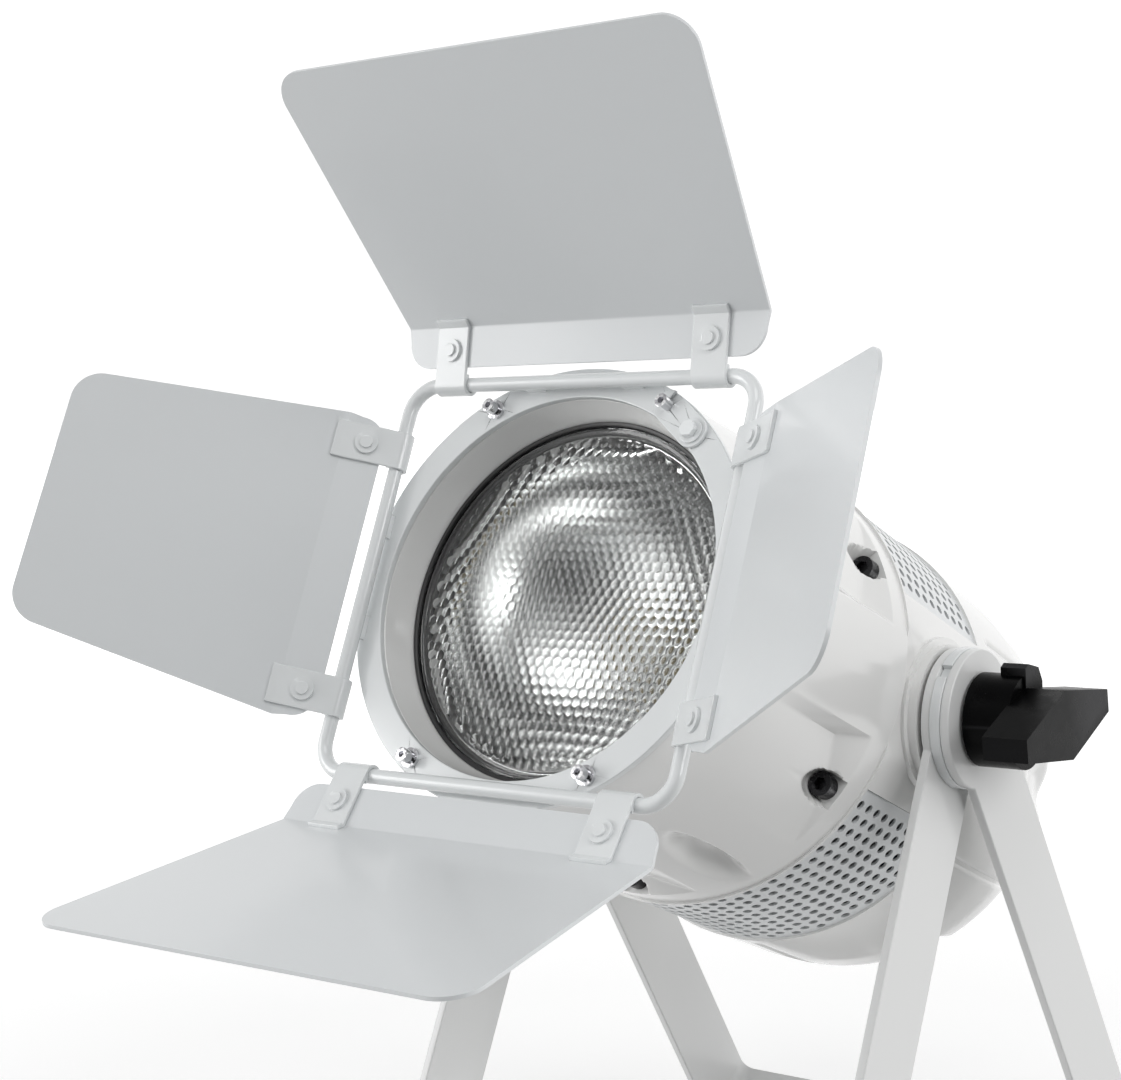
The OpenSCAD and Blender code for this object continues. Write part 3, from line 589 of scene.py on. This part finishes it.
def make_front():
    """The front casting: its outside with pockets, scoops and screw wells, its mouth and its inside."""
    edges = [SCREW_SEAT - 0.08, SCREW_SEAT, 156.4, 156.75, MOUTH_S]
    rows = np.unique(np.concatenate([np.arange(FRONT_S, 156.01, 1.0), edges]))
    angle = round_angles(CAST_TURNS)
    s, phi = np.meshgrid(rows, angle, indexing="ij")
    a = np.abs(((phi + 90) % 180) - 90)
    outer = smoothed_profile(s, FRONT_OUTER) - pocket_depth(s, a) - scoop_depth(s, a)
    outer = outer - MOUTH_EDGE_DEPTH * ramp(s, MOUTH_EDGE_S, MOUTH_S) ** 2
    for at in SCREW_ANGLES:
        outer = cut_well(outer, s, phi, at)
    inner = np.minimum(np.interp(s, *np.array(FRONT_INNER, float).T), outer - FRONT_WALL)
    rings = [polar(r, angle, at) for r, at in zip(outer, rows)]
    rings += [polar(radius, angle, at) for radius, at in FRONT_BORE]
    rings += [polar(r, angle, at) for r, at in zip(inner[::-1], rows[::-1]) if at <= SEAT_BACK_S]
    return closed_shell("front_casting", rings, "front_housing", 38)


# ---------- the rear casting ----------

REAR_OUTER = [(-30, 98.6), (-38, 98.5), (-60, 98.3), (-90, 98), (-110, 96.5), (-124, 93), (-134, 88.5),
              (-142, 82.5), (-147, 75)]
# (radius, s) over the back edge and into the panel's recess
REAR_LIP = [(69.6, -147.0), (62.8, -147.0), (62.4, -146.6), (62.4, -145.0), (57.0, -145.0), (57.0, -143.0)]
REAR_LOBE, REAR_INSIDE_S, REAR_BORE, REAR_WALL, REAR_ROUNDING = 60, -141, 93.5, 2.0, 4
REAR_SCOOP = dict(mid=-118, half=30, width=15, depth=6.0, radius=92)
GROOVE = dict(depth=1.2, floor=0.8, edge=2.2, front=(-52, -58), back=(-140, -134), radius=96)


def make_rear():
    """The rear casting: a bowl with six scoops, and a groove between each two."""
    rows = np.unique(np.concatenate([np.arange(-146.0, -37.9, 1.0), [-146.8, -147.0]]))[::-1]
    angle = round_angles(CAST_TURNS)
    s, phi = np.meshgrid(rows, angle, indexing="ij")
    at, radius = np.array(REAR_OUTER[::-1], float).T
    outer = smoothed_profile(s, REAR_OUTER[::-1], REAR_ROUNDING, 9)
    outer = np.minimum(outer, np.interp(s, at, radius) + 0.2)
    from_scoop = np.radians(((phi + REAR_LOBE / 2) % REAR_LOBE) - REAR_LOBE / 2) * REAR_SCOOP["radius"]
    e = np.hypot((s - REAR_SCOOP["mid"]) / REAR_SCOOP["half"], from_scoop / REAR_SCOOP["width"])
    outer = outer - REAR_SCOOP["depth"] * (1 - smooth_ramp(e, 0.3, 1.0))
    from_groove = np.radians(np.abs((phi % REAR_LOBE) - REAR_LOBE / 2)) * GROOVE["radius"]
    groove = 1 - smooth_ramp(from_groove, GROOVE["floor"], GROOVE["edge"])
    groove = groove * ramp(s, *GROOVE["front"]) * ramp(s, *GROOVE["back"])
    outer = outer - GROOVE["depth"] * groove
    inner = np.minimum(outer - REAR_WALL, REAR_BORE)
    rings = [polar(r, angle, z) for r, z in zip(outer, rows)]
    rings += [polar(r, angle, z) for r, z in REAR_LIP]
    rings += [polar(r, angle, z) for r, z in zip(inner[::-1], rows[::-1]) if z > REAR_INSIDE_S]
    return closed_shell("rear_casting", rings, "rear_cover", 38)


# ---------- barn-door leaves ----------

SHEET, CLIP_R, CREASE, STRIP_START, BEND_R = 1.5, 3.05, 24.0, 7.0, 2.2
NEAR_CORNER, FAR_CORNER = 11.0, 13.0
LARGE = dict(reach=83.65, w_in=88.4, w_out=100.3, length=121.0, bend=43.5, open=32.0)
LEFT = dict(reach=85.06, w_in=65.7, w_out=52.6, length=112.0, bend=10.5, open=44.3)
RIGHT = dict(LEFT, open=48.0)


def rotation(axis, degrees):
    return np.array(Matrix.Rotation(math.radians(degrees), 3, axis))


def leaf_points(points, turn, reach, angle):
    """Points of a leaf's own frame, whose x is its rod, as world points."""
    tilted = np.asarray(points, float) @ rotation("X", 90 - angle).T + np.array([0, reach, ROD_S])
    return head_points(tilted @ rotation("Z", turn).T)


def leaf_rows(sizes):
    """(half width, y, z) of the sheet's middle, from the strip's edge to the panel's far edge."""
    w_in, w_out, length = sizes["w_in"], sizes["w_out"], sizes["length"]
    bend = math.radians(sizes["bend"])
    mid = CLIP_R - SHEET / 2
    crease = CREASE + SHEET / 2 * math.tan(bend / 2) - BEND_R * math.tan(bend / 2)
    rows = []
    for t in np.linspace(0, math.pi / 2, 13):
        width = w_in - 1 - NEAR_CORNER + NEAR_CORNER * math.sin(t)
        rows.append((width, STRIP_START + NEAR_CORNER - NEAR_CORNER * math.cos(t), mid))
    for t in np.linspace(0, bend, 7):
        rows.append((w_in, crease + BEND_R * math.sin(t), mid + BEND_R * (1 - math.cos(t))))

    def on_panel(width, along):
        return (width, CREASE + along * math.cos(bend) + SHEET / 2 * math.sin(bend),
                CLIP_R + along * math.sin(bend) - SHEET / 2 * math.cos(bend))

    lean = math.atan2(w_out - w_in, length)
    straight = length - FAR_CORNER - FAR_CORNER * math.sin(lean) - 2
    for along in np.linspace(4, straight, 9):
        rows.append(on_panel(w_in + (w_out - w_in) * along / length, along))
    # the corner's arc touches both the leaning side and the far edge
    side_there = w_in + (w_out - w_in) * (length - FAR_CORNER) / length
    corner_mid = side_there - FAR_CORNER / math.cos(lean)
    for t in np.linspace(-lean, math.pi / 2, 17):
        along = length - FAR_CORNER + FAR_CORNER * math.sin(t)
        rows.append(on_panel(corner_mid + FAR_CORNER * math.cos(t), along))
    return rows


def make_leaf(side, turn, sizes):
    """A bent sheet. turn is the rod's place round the frame, in degrees from the top."""
    rows = leaf_rows(sizes)
    columns = np.linspace(-1, 1, 15)
    middle = [(w * c, y, z) for w, y, z in rows for c in columns]
    angle = sizes["open"] + sizes["bend"]
    points = leaf_points(middle, turn, sizes["reach"], angle)
    obj = piece(f"{side}_door_leaf", points, grid_faces(len(rows), len(columns)), f"{side}_leaf")
    step = obj.modifiers.new("sheet", "SOLIDIFY")
    step.thickness = SHEET * MM
    step.offset = 0.0
    step.use_even_offset = True
    soften(obj, 0.5, 3, 50, weld=False)
    return obj


make_lens()
make_bowl()
make_gasket()
make_vent("top_vent_sheet", 90)
make_vent("bottom_vent_sheet", 270)
make_front()
make_rear()
make_leaf("top", 0, LARGE)
make_leaf("bottom", 180, LARGE)
make_leaf("left", 90, LEFT)
make_leaf("right", 270, RIGHT)

# ---------- CAD pieces that are kept ----------

# widths of the rounded edges, in millimetres
USUAL_EDGE = 0.2
EDGE = {"outer_bracket": 0.7, "inner_bracket": 0.7, "left_knob": 1.4, "right_knob": 1.4,
        "spacer_discs": 0.5, "chassis_ring": 0.5, "barn_door_ring": 0.5, "housing_screws": 0.35,
        "ring_screws": 0.25, "latch": 0.35, "latch_bolt": 0.3, "rear_panel": 0.3}
for leaf_side in ("top", "bottom", "left", "right"):
    EDGE[f"{leaf_side}_clips"] = 0.35
    EDGE[f"{leaf_side}_rivets"] = 0.3
# the vent seats' half width, half angle and outermost radius
SEAT_HALF, SEAT_HALF_ANGLE, SEAT_OUT = 37.5, 66, 97.9


def paint_vent_seat_shade(ring):
    """Paints the seats under the vent sheets black as painted shade, so that the holes over them show dark."""
    ring.data.materials.append(SHADES["panel_black"])
    for face in ring.data.polygons:
        x, u, s = (np.array(ring.matrix_world @ face.center) - PIVOT) @ HEAD / MM
        under_sheet = abs(math.degrees(math.atan2(abs(u), x)) - 90) < SEAT_HALF_ANGLE
        if abs(s) < SEAT_HALF and under_sheet and math.hypot(x, u) < SEAT_OUT:
            # painted shade: the seat faces under the vent sheets take the black coat
            face.material_index = 1


for node_name, node in nodes.items():
    if not node.hide_render:
        dress(node, SLOTS[node_name])
        if node_name == "chassis_ring":
            # painted shade on the vent seats
            paint_vent_seat_shade(node)
        edge_width = EDGE.get(node_name, USUAL_EDGE)
        soften(node, edge_width, 3 if edge_width > 0.3 else 2)

# ---------- floor, light and camera ----------

CENTRE = (0.0, 0.0, 0.27)
FLOOR_R, FLOOR_DROP = 14.0, 0.0005
# the floor's own glow rises from the first distance to the second, so that its far part is pure white
GLOW_AT, GLOW = (0.5, 3.0), (0.25, 1.0)


def make_floor():
    work = bmesh.new()
    bmesh.ops.create_circle(work, cap_ends=True, segments=96, radius=FLOOR_R)
    mesh = bpy.data.meshes.new("floor")
    work.to_mesh(mesh)
    work.free()
    floor = bpy.data.objects.new("floor", mesh)
    bpy.context.scene.collection.objects.link(floor)
    floor.location.z = -FLOOR_DROP
    made = Surface("studio floor", 0.6)
    made.set("Base Color", made.mix(made.noise(3.0), (0.90, 0.90, 0.90), (0.93, 0.93, 0.93)))
    made.bump(made.noise(200.0), 0.05, 0.0004)
    reach = made.node("ShaderNodeVectorMath", Vector=made.coords)
    reach.operation = "LENGTH"
    made.set("Emission Strength", made.remap(reach.outputs["Value"], *GLOW_AT, *GLOW))
    made.set("Emission Color", (1.0, 1.0, 1.0, 1.0))
    mesh.materials.append(made.material)
    floor.visible_diffuse = False
    floor.visible_glossy = False
    floor.visible_transmission = False


def area_light(name, place, size, power):
    light = bpy.data.lights.new(name, "AREA")
    light.shape = "RECTANGLE"
    light.size, light.size_y = size
    light.energy = power
    obj = bpy.data.objects.new(name, light)
    bpy.context.scene.collection.objects.link(obj)
    obj.location = place
    obj.rotation_euler = (Vector(CENTRE) - Vector(place)).to_track_quat("-Z", "Y").to_euler()


make_floor()
area_light("key", (2.0, -0.3, 1.1), (0.9, 0.9), 10)
area_light("bowl left", (-1.9, -1.7, 0.7), (0.9, 1.5), 18)
area_light("bowl top", (0.8, -0.9, 2.2), (1.3, 0.9), 10)

# brightness of the room at eye level and straight below, and the shares of it overhead and on the dark side
ROOM, ROOM_BELOW, OVERHEAD, DARKEST = 1.10, 0.72, 0.32, 0.01
DARK_SIDE = Vector((0.62, -0.74, -0.26)).normalized()


def make_world():
    """A white background for the camera, and a room with darker sides for light and reflections."""
    world = bpy.data.worlds.new("studio")
    bpy.context.scene.world = world
    world.use_nodes = True
    tree = world.node_tree
    split = tree.nodes.new("ShaderNodeSeparateXYZ")
    direction = tree.nodes.new("ShaderNodeTexCoord").outputs["Generated"]
    tree.links.new(direction, split.inputs[0])
    towards = tree.nodes.new("ShaderNodeVectorMath")
    towards.operation = "DOT_PRODUCT"
    towards.inputs[1].default_value = DARK_SIDE
    tree.links.new(direction, towards.inputs[0])

    def blend(value, low, high, out_low, out_high):
        made = tree.nodes.new("ShaderNodeMapRange")
        made.interpolation_type = "SMOOTHSTEP"
        for index, number in enumerate((low, high, out_low, out_high)):
            made.inputs[index + 1].default_value = number
        tree.links.new(value, made.inputs[0])
        return made.outputs[0]

    def math_node(kind, a, b):
        made = tree.nodes.new("ShaderNodeMath")
        made.operation = kind
        for socket, value in zip(made.inputs, (a, b)):
            if isinstance(value, bpy.types.NodeSocket):
                tree.links.new(value, socket)
            else:
                socket.default_value = value
        return made.outputs[0]

    below = blend(split.outputs["Z"], -1.0, -0.1, ROOM_BELOW, ROOM)
    height = math_node("MULTIPLY", below, blend(split.outputs["Z"], 0.2, 0.95, 1.0, OVERHEAD))
    room = math_node("MULTIPLY", height, blend(towards.outputs["Value"], 0.55, 0.88, 1.0, DARKEST))
    seen = tree.nodes.new("ShaderNodeLightPath").outputs["Is Camera Ray"]
    tree.links.new(math_node("MAXIMUM", room, seen), tree.nodes["Background"].inputs["Strength"])
    tree.nodes["Background"].inputs["Color"].default_value = (1.0, 1.0, 1.0, 1.0)


make_world()

camera_data = bpy.data.cameras.new("camera")
camera_data.lens = 68.57
camera_data.sensor_width = 36.0
camera_data.sensor_fit = "HORIZONTAL"
camera_data.clip_start, camera_data.clip_end = 0.02, 60.0
camera = bpy.data.objects.new("camera", camera_data)
bpy.context.scene.collection.objects.link(camera)
camera.matrix_world = Matrix(((0.79958, -0.01636, 0.60035, 0.5055), (0.59911, 0.09146, -0.79543, -0.73018),
                              (-0.04189, 0.99567, 0.08293, 0.41257), (0, 0, 0, 1)))
bpy.context.scene.camera = camera
bpy.context.scene.view_settings.view_transform = "Standard"
bpy.context.scene.view_settings.look = "None"

bpy.context.view_layer.update()
